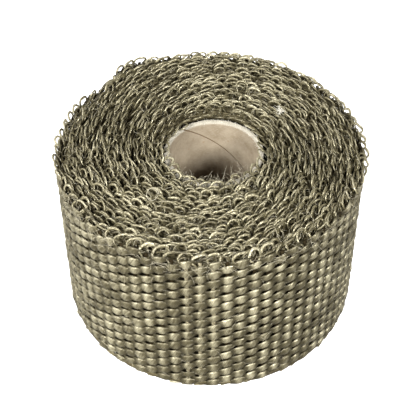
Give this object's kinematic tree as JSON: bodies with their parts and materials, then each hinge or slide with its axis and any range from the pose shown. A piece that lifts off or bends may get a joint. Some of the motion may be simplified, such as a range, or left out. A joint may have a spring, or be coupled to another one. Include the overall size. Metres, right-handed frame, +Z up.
{
  "type": "exhaust heat wrap roll",
  "caption": "Roll of woven titanium-coloured basalt exhaust heat wrap tape, wound on a short cardboard core and standing on its end.",
  "frame": {"origin": "in the middle of the roll's outline, at the level of the surface that the roll stands on; the core's axis is 1.25 mm from it towards +X", "axes": "+Z up along the axis of the roll; the side that the picture shows faces -Y, and the tape's outer end lies between +Y and -X"},
  "size_m": [0.0821, 0.0821, 0.05],
  "materials": {
    "basalt_weave": "woven mineral fibre yarn, satin sheen",
    "core_cardboard": "matt wound cardboard"
  },
  "bodies": {
    "root": {"wrap_tape": "basalt_weave", "cardboard_core": "core_cardboard"}
  },
  "joints": []
}
